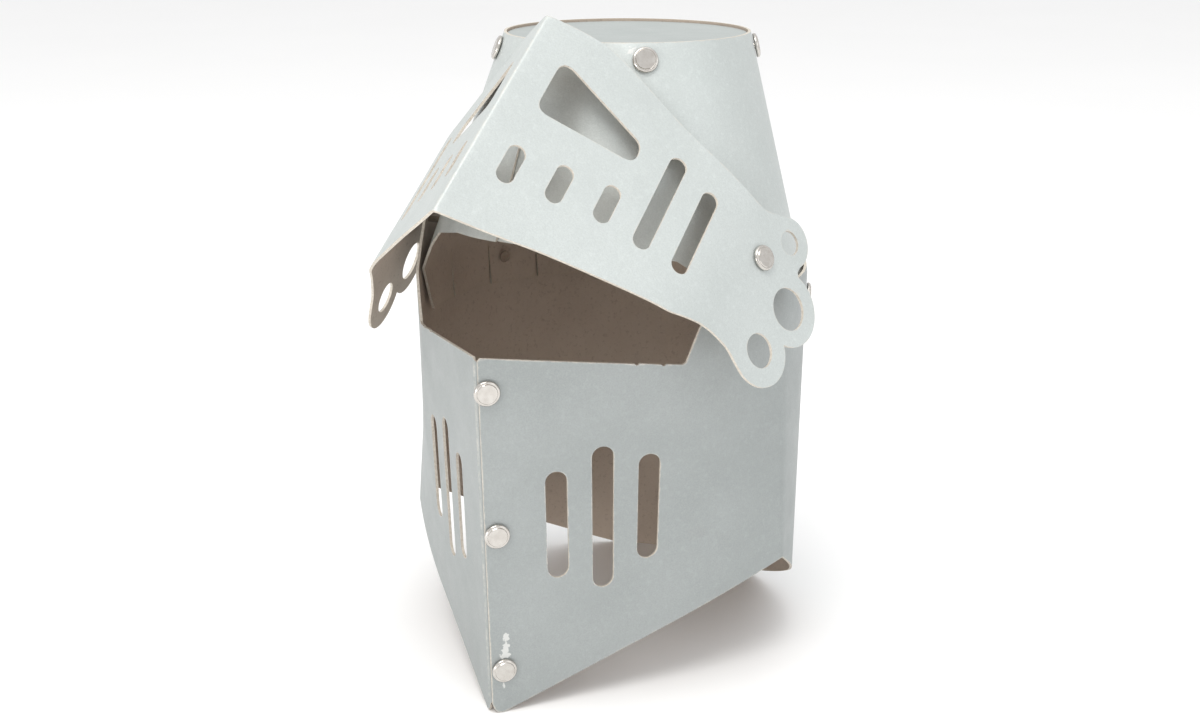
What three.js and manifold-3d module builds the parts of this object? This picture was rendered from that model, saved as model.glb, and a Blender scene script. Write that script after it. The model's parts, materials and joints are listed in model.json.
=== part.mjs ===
// A child's knight helmet in silver-faced card: a cone-shaped crown with a flat lid,
// a wall that wraps the neck and meets in a prow, and a folded visor that swings on
// two rivets at the ears. Every card piece is drawn flat, as it is die-cut, and then
// bent to its place. Millimetres, +Z up, the face looks along -Y, wearer's left is +X,
// and Z = 0 is the surface that the helmet stands on. X and Y are measured from the middle
// of the head until the end, where everything is moved to the middle of the footprint.

import * as THREE from 'three';
import { mergeVertices } from 'three/addons/utils/BufferGeometryUtils.js';
import Module from 'manifold-3d';

const wasm = await Module();
wasm.setup();

// ---------- driving dimensions ----------

const CARD = 1.2; // thickness of the board
const LAP_GAP = 0.35; // air between two sheets that lie on each other
const LAP = CARD + LAP_GAP; // how far one sheet steps over another
const DEGREE = Math.PI / 180;

// Where both sides of the guard bend round at the height of the cheeks.
const CHEEK_BEND = { lean: 48.9, corner: 41.1 };
// The wall in plan is a drop: straight sides lean back from the prow by so many degrees,
// then it goes round the head. Near the floor the sides run further back to a tighter
// corner, and the card has spread more on the wearer's right.
const WALL_LEVELS = [
	{ z: 0, prow: 113, radius: 88, left: { lean: 42, corner: 85 }, right: { lean: 48, corner: 79 } },
	{ z: 178, prow: 120.1, radius: 90.5, left: CHEEK_BEND, right: CHEEK_BEND },
	{ z: 208, prow: 113.5, radius: 85.5, left: CHEEK_BEND, right: CHEEK_BEND },
];
const WALL_ROWS = [ 45, 90, 134, 178 ]; // heights at which the twisted sheet has corners
const WALL_AZIMUTHS = [
	0, 14, 28, 41.1, 49, 57, 65, 73, 79, 85, 91,
	97.5, 105, 113, 121, 129, 137, 145.5, 154, 162.5, 171, 180,
];
const CORNER_FADE = 30; // degrees over which the tight bend eases into the round
const FREE_EDGE = 1.0; // the near panel stops this far short of the prow
const PROW_TAB = 19; // the far panel's tab, tucked under the near panel
const GUARD_TOP_AT_PROW = 165;
const GUARD_TOP_AT_CHEEK = 155.5;
const CHEEK = 86; // distance from the prow to the corner of the face opening
const EAR_TAB = { start: 91, rise: 107, end: 139, fall: 153, top: 206 };
const WALL_TOP = 181; // upper edge round the back
const PROW_FOOT = [[0, 4.5], [0.7, 2], [2, 0.5], [4, 0], [6, 0.5]]; // rounded lower corner
const ARCH_TOP = 53; // the lower edge rises to this above the shoulders
const ARCH_END_Y = 80; // behind this the lower edge is level

// Upright slots, the same three on each side.
const SLOT_WIDTH = 9.6;
const SLOT_FIRST = 31.5; // distance of the first slot from the prow
const SLOT_PITCH = 20.4;
const SLOTS = [{ middle: 87, length: 50 }, { middle: 88, length: 67 }, { middle: 91, length: 50 }];

// The crown: a cone whose edge is bent down into a skirt of tabs inside the wall.
const CROWN_TOP = { z: 284.5, radius: 55.8, y: 15 };
const CROWN_BEND = { z: 176, radius: 88.4, y: 0 };
const CROWN_HEM = { z: 153, radius: 87, y: 0 };
const CROWN_SEAM = 349; // azimuth of the outer end of the sheet, 11 degrees right of front
const CROWN_OVERLAP = 15; // degrees
const CROWN_RAMP = 34; // degrees over which the sheet climbs onto itself
const BROW_PROFILE = [[0, 203], [30, 202.5], [46, 198], [57, 188], [65, 172], [72, 153]];
const SKIRT_PITCH = 18.75; // degrees between slits
const SKIRT_SHIFT = -2;
const SLITS_EACH_WAY = 5;
const SLIT_TOP = 174.5;
const SLIT_HALF_WIDTH = 0.55; // degrees, at the hem

const LID_TOP = 283.3;
const LID_TAB = { halfWidth: 8.5, depth: 13 }; // degrees either way, millimetres down

// The visor in plan, shut: straight from the fold, round the temple, straight to the ear.
const VISOR_FOLD = 127;
const VISOR_RADIUS = 92.5;
const VISOR_TEMPLE = 28; // degrees from fore-and-aft where the round of the temple ends
const VISOR_EARS = { left: 28, right: 22 }; // degrees at the ears: the right one sits closer
const EAR_BEND = 9.5; // length of the bend between the temple and the ear
const HINGE = { y: -31.4, z: 198 };
const HALF_BORE = 120;
const HINGE_INNER_X = 69; // middle of the rivets' inner caps, inside the crown
const RAISED = 53.5; // degrees up from shut
const EYE = [[14.8, 191.5], [61, 195.5], [60, 206], [14.8, 221]];
const EYE_ROUND = 4;
const BREATHS = [[17.2, 162.6], [37.8, 167], [58.4, 171.4]]; // centres of short slots
const BREATH_SIZE = { width: 7.6, length: 19 };
const LONG_BREATHS = [[77.6, 186.2], [96.2, 183.6]];
const LONG_BREATH_SIZE = { width: 8, length: 49 };
const LOBES = [
	{ x: 140.5, y: 215, outer: 11.5, hole: 5.3 },
	{ x: 153.5, y: 188.5, outer: 16.5, hole: 9.3 },
	{ x: 148, y: 161.5, outer: 15.5, hole: 7.4 },
];

// Two-part snap rivets: a domed cap outside, a shank, and a small cap inside.
const CAP = { radius: 5.6, rim: 0.9, dome: 1.1 };
const BACK_CAP = { radius: 3.0, thickness: 0.9 };
const SHANK = 1.5;
const SHANK_IN_CAP = 0.8;
const SHANK_HOLE = 1.95;
const PIVOT_HOLE = 2.6;
const SEAT = 0.3; // air under a cap
const PROW_RIVETS = [[3.4, 150], [5, 85.5], [5.6, 21]]; // [distance from the free edge, height]
const RIM_RIVETS = { azimuths: [35, 117, 211, 309], z: 277.5 };
const REAR_RIVETS = { azimuth: 113, z: 166 };

// ---------- solids and sheets ----------

function solidOf( geometry ) {

	const bare = geometry.clone();
	bare.deleteAttribute( 'normal' );
	bare.deleteAttribute( 'uv' );
	return solidOfMerged( mergeVertices( bare, 1e-4 ) );

}

// For a mesh whose triangles already share their corners.
function solidOfMerged( geometry ) {

	return new wasm.Manifold( new wasm.Mesh( {
		numProp: 3,
		vertProperties: new Float32Array( geometry.attributes.position.array ),
		triVerts: new Uint32Array( geometry.index.array ),
	} ) );

}

function geometryOf( solid ) {

	const mesh = solid.getMesh();
	const geometry = new THREE.BufferGeometry();
	geometry.setAttribute( 'position', new THREE.BufferAttribute( mesh.vertProperties, 3 ) );
	geometry.setIndex( new THREE.BufferAttribute( mesh.triVerts, 1 ) );
	return geometry;

}

// A sheet between a lower and an upper edge, both given as [x, height] with x rising.
// It has corners at every point of the edges, at every bend line, and where the levels
// run along it. place( x, height, depth ) puts a point of the flat sheet where it goes,
// with depth 0 on the inner face and CARD on the outer.
function bentSheet( { lower, upper, bends, levels, place } ) {

	const stopsOn = ( edge ) => [ ...edge.map( ( [ x ] ) => x ), ...crossings( edge, levels ) ];
	const stops = [ lower, upper ].flatMap( stopsOn );
	const xs = [ ...new Set( [ ...stops, ...bends ] ) ].sort( ( a, b ) => a - b );
	const columns = xs.filter( ( x ) => x >= lower[ 0 ][ 0 ] && x <= lower.at( - 1 )[ 0 ] ).map( ( x ) => {

		const [ low, high ] = [ heightAt( lower, x ), heightAt( upper, x ) ];
		const between = levels.map( ( level ) => THREE.MathUtils.clamp( level, low, high ) );
		return { x, heights: [ low, ...between, high ] };

	} );
	const corners = [];
	const known = new Map();
	const cornerOf = ( { x, heights }, row, depth ) => {

		const key = [ x, heights[ row ], depth ].join( ' ' );
		if ( ! known.has( key ) ) known.set( key, corners.push( place( x, heights[ row ], depth ) ) - 1 );
		return known.get( key );

	};
	const faces = [];
	const quad = ( ...[ a, b, c, d ] ) => faces.push( [ a, b, c ], [ a, c, d ] );
	const top = levels.length + 1;
	columns.slice( 1 ).forEach( ( next, i ) => {

		const here = columns[ i ];
		for ( let row = 0; row < top; row ++ ) {

			const [ a, b ] = [ row, row + 1 ];
			quad(
				cornerOf( here, a, CARD ), cornerOf( next, a, CARD ),
				cornerOf( next, b, CARD ), cornerOf( here, b, CARD ),
			);
			quad( cornerOf( here, b, 0 ), cornerOf( next, b, 0 ), cornerOf( next, a, 0 ), cornerOf( here, a, 0 ) );

		}
		quad(
			cornerOf( here, 0, 0 ), cornerOf( next, 0, 0 ),
			cornerOf( next, 0, CARD ), cornerOf( here, 0, CARD ),
		);
		quad(
			cornerOf( here, top, CARD ), cornerOf( next, top, CARD ),
			cornerOf( next, top, 0 ), cornerOf( here, top, 0 ),
		);

	} );
	const [ first, last ] = [ columns[ 0 ], columns.at( - 1 ) ];
	for ( let row = 0; row < top; row ++ ) {

		const [ a, b ] = [ row, row + 1 ];
		quad(
			cornerOf( first, a, 0 ), cornerOf( first, a, CARD ),
			cornerOf( first, b, CARD ), cornerOf( first, b, 0 ),
		);
		quad(
			cornerOf( last, a, CARD ), cornerOf( last, a, 0 ),
			cornerOf( last, b, 0 ), cornerOf( last, b, CARD ),
		);

	}
	const whole = faces.filter( ( face ) => new Set( face ).size === 3 );
	return solidOfMerged( new THREE.BufferGeometry().setFromPoints( corners ).setIndex( whole.flat() ) );

}

// The way a bent sheet runs at a point of it: along it, up it and out of it.
function facing( place, x, y ) {

	const up = place( x, y + 1, 0 ).sub( place( x, y - 1, 0 ) ).normalize();
	const outward = place( x + 1, y, 0 ).sub( place( x - 1, y, 0 ) ).cross( up ).normalize();
	return { along: up.clone().cross( outward ), up, outward };

}

// A tool that cuts or adds a flat outline where a bent sheet lies: the outline is given
// round the point [x, y] of the flat sheet, and it goes through the sheet there.
function stamp( place, [ x, y ], outline, from = - CARD, to = 2 * CARD ) {

	const base = place( x, y, 0 );
	const { along, up, outward } = facing( place, x, y );
	const frame = new THREE.Matrix4().makeBasis( along, up, outward );
	const shape = new THREE.Shape( outline.map( ( [ px, py ] ) => new THREE.Vector2( px, py ) ) );
	const thickness = { depth: to - from, bevelEnabled: false };
	const tool = new THREE.ExtrudeGeometry( shape, thickness ).translate( 0, 0, from );
	return solidOf( tool.applyMatrix4( frame ).translate( base.x, base.y, base.z ) );

}

function circle( radius, sides = 20 ) {

	const at = ( i ) => 2 * Math.PI * i / sides;
	const corner = ( _, i ) => [ radius * Math.cos( at( i ) ), radius * Math.sin( at( i ) ) ];
	return Array.from( { length: sides }, corner );

}

function roundEndedSlot( { width, length } ) {

	const reach = ( length - width ) / 2;
	return circle( width / 2, 16 ).map( ( [ x, y ], i ) => [ x, i <= 8 ? y + reach : y - reach ] );

}

// A polygon with each corner turned on the same radius.
function roundedPolygon( corners, radius, steps = 4 ) {

	const points = [];
	corners.forEach( ( corner, i ) => {

		const here = new THREE.Vector2( ...corner );
		const back = new THREE.Vector2( ...corners.at( i - 1 ) ).sub( here ).normalize();
		const ahead = new THREE.Vector2( ...corners[ ( i + 1 ) % corners.length ] ).sub( here ).normalize();
		const half = Math.acos( THREE.MathUtils.clamp( back.dot( ahead ), - 1, 1 ) ) / 2;
		const setback = radius / Math.tan( half );
		const curve = new THREE.QuadraticBezierCurve(
			here.clone().addScaledVector( back, setback ),
			here,
			here.clone().addScaledVector( ahead, setback ),
		);
		curve.getPoints( steps ).forEach( ( point ) => points.push( [ point.x, point.y ] ) );

	} );
	return points;

}

// ---------- tracks: the line in plan that a sheet is bent along ----------

// Outward offsets at each corner of a line in plan, mitred so that both faces meet.
function mitres( points ) {

	const normal = ( a, b ) => new THREE.Vector2( b.y - a.y, a.x - b.x ).normalize();
	return points.map( ( point, i ) => {

		const before = i > 0 ? normal( points[ i - 1 ], point ) : normal( point, points[ i + 1 ] );
		const after = i < points.length - 1 ? normal( point, points[ i + 1 ] ) : before;
		return before.clone().add( after ).divideScalar( 1 + before.dot( after ) );

	} );

}

function lengthsOf( points ) {

	const lengths = [ 0 ];
	for ( let i = 1; i < points.length; i ++ ) {

		lengths.push( lengths[ i - 1 ] + points[ i ].distanceTo( points[ i - 1 ] ) );

	}

	return lengths;

}

// Where along its length an edge passes each of the levels.
function crossings( edge, levels ) {

	return edge.slice( 1 ).flatMap( ( [ x, height ], i ) => {

		const [ px, before ] = edge[ i ];
		return levels
			.filter( ( level ) => ( level - before ) * ( level - height ) < 0 )
			.map( ( level ) => THREE.MathUtils.lerp( px, x, ( level - before ) / ( height - before ) ) );

	} );

}

function heightAt( edge, x ) {

	const { i, f } = locate( edge.map( ( [ ex ] ) => ex ), x );
	return f === 0 ? edge[ i ][ 1 ] : THREE.MathUtils.lerp( edge[ i ][ 1 ], edge[ i + 1 ][ 1 ], f );

}

// Finds x between two entries of a rising list: the entry below it, and how far on it is.
function locate( list, x ) {

	let i = list.findIndex( ( value ) => value > x ) - 1;
	if ( i === - 2 ) i = list.length - 2;
	i = Math.max( i, 0 );
	return { i, f: ( x - list[ i ] ) / ( list[ i + 1 ] - list[ i ] ) };

}

// ---------- rivets ----------

// The cap of a rivet, its underside at 0, from there to the middle of its dome.
function capProfile() {

	const steps = 4;
	const points = [ [ CAP.radius - 0.35, 0 ], [ CAP.radius, 0.3 ], [ CAP.radius, CAP.rim - 0.25 ] ];
	for ( let i = 0; i <= steps; i ++ ) {

		const turn = ( i / steps ) * Math.PI / 2;
		const radius = i === steps ? 0 : ( CAP.radius - 0.3 ) * Math.cos( turn );
		points.push( [ radius, CAP.rim + CAP.dome * Math.sin( turn ) ] );

	}
	return points.map( ( [ r, z ] ) => new THREE.Vector2( r, z ) );

}

// A whole rivet along +Z, with its inner cap a grip below the outer one.
function rivetProfile( grip ) {

	const backRadius = BACK_CAP.radius;
	const base = - grip - BACK_CAP.thickness;
	const inner = [
		[ 0, base ],
		[ backRadius - 0.4, base ],
		[ backRadius, base + 0.4 ],
		[ backRadius, - grip ],
	];
	const shank = [ [ SHANK, - grip ], [ SHANK, 0 ] ];
	return [ ...[ ...inner, ...shank ].map( ( [ r, z ] ) => new THREE.Vector2( r, z ) ), ...capProfile() ];

}

function turned( profile, sides = 20 ) {

	return new THREE.LatheGeometry( profile, sides ).rotateX( Math.PI / 2 );

}

// Turns a shape made along +Z to face `direction` and puts it at `point`.
function aimed( geometry, point, direction ) {

	const up = new THREE.Vector3( 0, 0, 1 );
	const turn = new THREE.Quaternion().setFromUnitVectors( up, direction.clone().normalize() );
	return geometry.applyQuaternion( turn ).translate( point.x, point.y, point.z );

}

function drill( point, direction, radius, reach = 12 ) {

	const cylinder = new THREE.CylinderGeometry( radius, radius, 2 * reach, 20 ).rotateX( Math.PI / 2 );
	return solidOf( aimed( cylinder, point, direction ) );

}

// ---------- the wall ----------

function wallPoint( level, side, azimuth ) {

	const { lean, corner } = level[ side ];
	const straight = ( a ) => level.prow * Math.sin( lean * DEGREE ) / Math.sin( ( lean + a ) * DEGREE );
	const fade = Math.max( 0, 1 - ( azimuth - corner ) / CORNER_FADE );
	const round = level.radius + ( straight( corner ) - level.radius ) * fade ** 2;
	const radius = azimuth <= corner ? straight( azimuth ) : round;
	const across = side === 'left' ? 1 : - 1;
	const angle = azimuth * DEGREE;
	return new THREE.Vector2( across * radius * Math.sin( angle ), - radius * Math.cos( angle ) );

}

// The whole sheet at one level: free edge, left side, back, right side, fold, tab.
function wallTrack( level ) {

	const left = WALL_AZIMUTHS.slice( 1 ).map( ( a ) => wallPoint( level, 'left', a ) );
	const right = WALL_AZIMUTHS.slice( 1, - 1 ).reverse().map( ( a ) => wallPoint( level, 'right', a ) );
	const apex = new THREE.Vector2( 0, - level.prow );
	const [ near, far ] = [ level.left.lean * DEGREE, level.right.lean * DEGREE ];
	const alongLeft = new THREE.Vector2( Math.sin( near ), Math.cos( near ) );
	const alongRight = new THREE.Vector2( - Math.sin( far ), Math.cos( far ) );
	const inward = new THREE.Vector2( - Math.cos( near ), Math.sin( near ) );
	const free = apex.clone().addScaledVector( alongLeft, FREE_EDGE );
	const fold = apex.clone().addScaledVector( alongRight, LAP / Math.sin( near + far ) );
	const tabEnd = apex.clone().addScaledVector( inward, LAP ).addScaledVector( alongLeft, PROW_TAB );
	return [ free, ...left, ...right, fold, tabEnd ];

}

const wallTracks = WALL_LEVELS.map( ( level ) => wallTrack( level ) );
const wallMitres = wallTracks.map( ( track ) => mitres( track ) );
const halfWayUp = wallTracks[ 0 ].map( ( point, i ) => point.clone().lerp( wallTracks[ 1 ][ i ], 0.5 ) );
const wallMeasure = lengthsOf( halfWayUp );
const WALL_FOLD_X = wallMeasure.at( - 2 );
const WALL_BACK_X = wallMeasure[ WALL_AZIMUTHS.length - 1 ];

function placeOnWall( x, z, depth ) {

	const { i, f } = locate( wallMeasure, x );
	const { i: low, f: up } = locate( WALL_LEVELS.map( ( level ) => level.z ), z );
	const corner = ( k ) => {

		const point = wallTracks[ low ][ k ].clone().lerp( wallTracks[ low + 1 ][ k ], up );
		const outward = wallMitres[ low ][ k ].clone().lerp( wallMitres[ low + 1 ][ k ], up );
		return point.addScaledVector( outward, depth - CARD );

	};
	const point = corner( i ).lerp( corner( i + 1 ), f );
	return new THREE.Vector3( point.x, point.y, z );

}

// Distance along the sheet from its free edge to an azimuth on the wearer's left.
function wallX( azimuth ) {

	const { i, f } = locate( WALL_AZIMUTHS, azimuth );
	return THREE.MathUtils.lerp( wallMeasure[ i ], wallMeasure[ i + 1 ], f );

}

// One side of the sheet, from the prow to the middle of the back: upper then lower edge.
function wallUpperEdge() {

	return [
		[ 0, GUARD_TOP_AT_PROW ],
		[ CHEEK, GUARD_TOP_AT_CHEEK ],
		[ EAR_TAB.start, GUARD_TOP_AT_CHEEK + 14 ],
		[ EAR_TAB.rise - 1.5, EAR_TAB.top - 4 ],
		[ EAR_TAB.rise + 2, EAR_TAB.top ],
		[ EAR_TAB.end, EAR_TAB.top ],
		[ EAR_TAB.fall, WALL_TOP ],
	];

}

function wallLowerEdge() {

	const yAt = ( azimuth ) => wallPoint( WALL_LEVELS[ 0 ], 'left', azimuth ).y;
	const { corner } = WALL_LEVELS[ 0 ].left;
	const rearward = WALL_AZIMUTHS.filter( ( a ) => a > corner && yAt( a ) < ARCH_END_Y );
	const slope = ARCH_TOP / ( ARCH_END_Y - yAt( corner ) );
	return [
		...PROW_FOOT,
		[ wallX( corner ), ARCH_TOP ],
		...rearward.map( ( a ) => [ wallX( a ), slope * ( ARCH_END_Y - yAt( a ) ) ] ),
		[ wallX( 180 - Math.acos( ARCH_END_Y / WALL_LEVELS[ 0 ].radius ) / DEGREE ), 0 ],
	];

}

function wallSheet() {

	const stretch = ( WALL_FOLD_X - WALL_BACK_X ) / WALL_BACK_X;
	const otherSide = ( edge ) => edge.map( ( [ x, z ] ) => [ WALL_FOLD_X - x * stretch, z ] ).reverse();
	const tabEnd = WALL_FOLD_X + PROW_TAB - 1;
	let sheet = bentSheet( {
		lower: [ ...wallLowerEdge(), ...otherSide( wallLowerEdge() ), [ tabEnd, 12 ] ],
		upper: [ ...wallUpperEdge(), ...otherSide( wallUpperEdge() ), [ tabEnd, GUARD_TOP_AT_PROW - 12 ] ],
		bends: wallMeasure,
		levels: WALL_ROWS,
		place: placeOnWall,
	} );
	SLOTS.forEach( ( { middle, length }, i ) => {

		const x = SLOT_FIRST + i * SLOT_PITCH;
		for ( const centre of [ x, WALL_FOLD_X - x ] ) {

			const slot = roundEndedSlot( { width: SLOT_WIDTH, length } );
			sheet = sheet.subtract( stamp( placeOnWall, [ centre, middle ], slot ) );

		}

	} );
	return sheet;

}

// ---------- the crown ----------

const CROWN_START = CROWN_SEAM - 360 - CROWN_OVERLAP;
const CROWN_FACETS = 60;

function crownSection( z ) {

	const [ high, low ] = z > CROWN_BEND.z ? [ CROWN_TOP, CROWN_BEND ] : [ CROWN_BEND, CROWN_HEM ];
	const f = ( z - low.z ) / ( high.z - low.z );
	return {
		radius: THREE.MathUtils.lerp( low.radius, high.radius, f ),
		y: THREE.MathUtils.lerp( low.y, high.y, f ),
	};

}

// How far the sheet has climbed outward to lie over its own other end.
function crownClimb( azimuth ) {

	const rampEnd = CROWN_START + 360;
	return LAP * THREE.MathUtils.smoothstep( azimuth, rampEnd - CROWN_RAMP, rampEnd );

}

function placeOnCrown( azimuth, z, depth ) {

	const { radius, y } = crownSection( z );
	const out = radius + crownClimb( azimuth ) + depth - CARD;
	return new THREE.Vector3( out * Math.sin( azimuth * DEGREE ), y - out * Math.cos( azimuth * DEGREE ), z );

}

// Lower edge: low at the sides and back, where the skirt is, and high over the brow.
function crownLowerEdge() {

	const edge = BROW_PROFILE.map( ( point ) => [ ...point ] );
	for ( let k = - SLITS_EACH_WAY; k <= SLITS_EACH_WAY; k ++ ) {

		const slit = 180 + SKIRT_SHIFT + k * SKIRT_PITCH;
		edge.push(
			[ slit - SLIT_HALF_WIDTH, CROWN_HEM.z ],
			[ slit, SLIT_TOP ],
			[ slit + SLIT_HALF_WIDTH, CROWN_HEM.z ],
		);

	}
	const back = BROW_PROFILE.map( ( [ azimuth, z ] ) => [ 360 - azimuth, z ] ).reverse();
	const end = back.filter( ( [ azimuth ] ) => azimuth < CROWN_SEAM );
	const browHeight = BROW_PROFILE[ 0 ][ 1 ];
	return [ [ CROWN_START, browHeight ], ...edge, ...end, [ CROWN_SEAM, browHeight ] ];

}

function crownSheet() {

	const step = ( CROWN_SEAM - CROWN_START ) / CROWN_FACETS;
	return bentSheet( {
		lower: crownLowerEdge(),
		upper: [ [ CROWN_START, CROWN_TOP.z ], [ CROWN_SEAM, CROWN_TOP.z ] ],
		bends: Array.from( { length: CROWN_FACETS - 1 }, ( _, i ) => CROWN_START + ( i + 1 ) * step ),
		levels: [ CROWN_BEND.z ],
		place: placeOnCrown,
	} );

}

// ---------- the lid ----------

function placeUnderCrown( azimuth, z, depth ) {

	return placeOnCrown( azimuth, z, depth - LAP );

}

function lidSheet() {

	const rim = crownSection( LID_TOP );
	const radius = rim.radius - CARD - 0.6;
	const disc = new THREE.CylinderGeometry( radius, radius, CARD, 60 ).rotateX( Math.PI / 2 );
	let sheet = solidOf( disc.translate( 0, rim.y, LID_TOP - CARD / 2 ) );
	for ( const azimuth of RIM_RIVETS.azimuths ) {

		const { halfWidth, depth } = LID_TAB;
		const tab = bentSheet( {
			lower: [
				[ azimuth - halfWidth, LID_TOP - 0.2 ],
				[ azimuth - halfWidth + 2, LID_TOP - depth ],
				[ azimuth + halfWidth - 2, LID_TOP - depth ],
				[ azimuth + halfWidth, LID_TOP - 0.2 ],
			],
			upper: [ [ azimuth - halfWidth, LID_TOP - 0.2 ], [ azimuth + halfWidth, LID_TOP - 0.2 ] ],
			bends: [ - 3, 0, 3 ].map( ( d ) => azimuth + d ),
			levels: [],
			place: placeUnderCrown,
		} );
		sheet = sheet.add( tab );

	}
	return sheet;

}

// ---------- the visor ----------

const VISOR_ARC_STEPS = 6;
const EAR_LENGTH = 48;

function visorTrack( earAngle ) {

	const foldAngle = Math.asin( VISOR_RADIUS / VISOR_FOLD ) / DEGREE;
	const points = [ new THREE.Vector2( 0, - VISOR_FOLD ) ];
	for ( let i = 0; i <= VISOR_ARC_STEPS; i ++ ) {

		const angle = THREE.MathUtils.lerp( foldAngle, VISOR_TEMPLE, i / VISOR_ARC_STEPS ) * DEGREE;
		points.push( new THREE.Vector2( Math.cos( angle ), - Math.sin( angle ) ).multiplyScalar( VISOR_RADIUS ) );

	}
	const onward = ( degrees, length ) => {

		const step = new THREE.Vector2( Math.sin( degrees * DEGREE ), Math.cos( degrees * DEGREE ) );
		points.push( points.at( - 1 ).clone().addScaledVector( step, length ) );

	};
	onward( THREE.MathUtils.lerp( VISOR_TEMPLE, earAngle, 0.25 ), EAR_BEND / 2 );
	onward( THREE.MathUtils.lerp( VISOR_TEMPLE, earAngle, 0.75 ), EAR_BEND / 2 );
	onward( earAngle, EAR_LENGTH );
	return points;

}

const visorLeft = visorTrack( VISOR_EARS.left );
const visorRight = visorTrack( VISOR_EARS.right ).slice( 1 ).reverse()
	.map( ( p ) => new THREE.Vector2( - p.x, p.y ) );
const visorPoints = [ ...visorRight, ...visorLeft ];
const visorOffsets = mitres( visorPoints );
const visorLengths = lengthsOf( visorPoints );
const visorMeasure = visorLengths.map( ( length ) => length - visorLengths[ visorRight.length ] );

// x is the distance from the fold, positive on the wearer's left, and y is the height when shut.
function placeOnVisor( x, z, depth ) {

	const { i, f } = locate( visorMeasure, x );
	const corner = ( k ) => visorPoints[ k ].clone().addScaledVector( visorOffsets[ k ], depth - CARD );
	const point = corner( i ).lerp( corner( i + 1 ), f );
	return new THREE.Vector3( point.x, point.y - HINGE.y, z - HINGE.z );

}

// Half of the visor's edges, from the fold to the ear; the lobes are added to them.
const VISOR_LOWER = [
	[ 0, 125.5 ], [ 118, 149.8 ], [ 128, 151 ], [ 134, 150 ], [ 152, 158 ], [ 156, 173.5 ],
];
const VISOR_UPPER = [
	[ 0, 234.6 ], [ 19, 238.6 ], [ 29, 238.6 ], [ 38, 237 ], [ 80, 224 ], [ 116, 217.6 ], [ 125, 219.4 ],
	[ 134, 224.6 ], [ 146, 212 ], [ 152.3, 205 ], [ 156, 180 ],
];

function visorSheet() {

	const both = ( edge ) => [ ...edge.slice( 1 ).map( ( [ x, z ] ) => [ - x, z ] ).reverse(), ...edge ];
	let sheet = bentSheet( {
		lower: both( VISOR_LOWER ),
		upper: both( VISOR_UPPER ),
		bends: visorMeasure,
		levels: [],
		place: placeOnVisor,
	} );
	const cut = ( side, [ x, y ], outline ) => {

		sheet = sheet.subtract( stamp( placeOnVisor, [ side * x, y ], outline ) );

	};
	const eyeCentre = [ 38, 204 ];
	for ( const side of [ 1, - 1 ] ) {

		for ( const { x, y, outer } of LOBES ) {

			sheet = sheet.add( stamp( placeOnVisor, [ side * x, y ], circle( outer, 32 ), 0, CARD ) );

		}
		const eye = EYE.map( ( [ x, y ] ) => [ side * ( x - eyeCentre[ 0 ] ), y - eyeCentre[ 1 ] ] );
		cut( side, eyeCentre, roundedPolygon( side > 0 ? eye : eye.reverse(), EYE_ROUND ) );
		BREATHS.forEach( ( centre ) => cut( side, centre, roundEndedSlot( BREATH_SIZE ) ) );
		LONG_BREATHS.forEach( ( centre ) => cut( side, centre, roundEndedSlot( LONG_BREATH_SIZE ) ) );
		LOBES.forEach( ( { x, y, hole } ) => cut( side, [ x, y ], circle( hole ) ) );

	}
	return sheet;

}

// A pivot rivet in the visor's own place: its cap lies on the card, its shank is the axis.
function pivotRivet( side, earAngle ) {

	const last = visorPoints.at( side > 0 ? - 2 : 1 );
	const angle = earAngle * DEGREE;
	const capX = Math.abs( last.x ) + ( HINGE.y - last.y ) * Math.tan( angle );
	const outward = new THREE.Vector3( side * Math.cos( angle ), - Math.sin( angle ), 0 );
	const cap = turned( [ new THREE.Vector2( 0, 0 ), ...capProfile() ] );
	const seat = new THREE.Vector3( side * capX, 0, 0 ).addScaledVector( outward, SEAT );
	const length = capX + SEAT + SHANK_IN_CAP - HINGE_INNER_X;
	const shank = new THREE.CylinderGeometry( SHANK, SHANK, length, 16 ).rotateZ( Math.PI / 2 );
	const { radius, thickness } = BACK_CAP;
	const backCap = new THREE.CylinderGeometry( radius, radius, thickness, 20 ).rotateZ( Math.PI / 2 );
	return geometryOf( solidOf( aimed( cap, seat, outward ) )
		.add( solidOf( shank.translate( side * ( HINGE_INNER_X + length / 2 ), 0, 0 ) ) )
		.add( solidOf( backCap.translate( side * HINGE_INNER_X, 0, 0 ) ) ) );

}

// ---------- where the rivets go ----------

function rivetPlace( place, x, y ) {

	return { point: place( x, y, CARD ), outward: facing( place, x, y ).outward };

}

function rivet( { point, outward }, grip ) {

	const seat = point.clone().addScaledVector( outward, SEAT );
	return aimed( turned( rivetProfile( grip + 2 * SEAT ) ), seat, outward );

}

function drilled( sheet, places, radius = SHANK_HOLE ) {

	const bored = ( solid, { point, outward } ) => solid.subtract( drill( point, outward, radius ) );
	return places.reduce( bored, sheet );

}

// ---------- assembly ----------

const material = ( finish ) => new THREE.MeshStandardMaterial( finish );
const silverCard = () => material( { color: 0xc3cac8, roughness: 0.55, metalness: 0.3 } );
const nickel = () => material( { color: 0xd8d6d0, roughness: 0.22, metalness: 1 } );

const helmet = new THREE.Group();

function addMesh( parent, name, geometry, finish ) {

	geometry.computeVertexNormals();
	const mesh = new THREE.Mesh( geometry, finish );
	mesh.name = name;
	parent.add( mesh );

}

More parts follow.
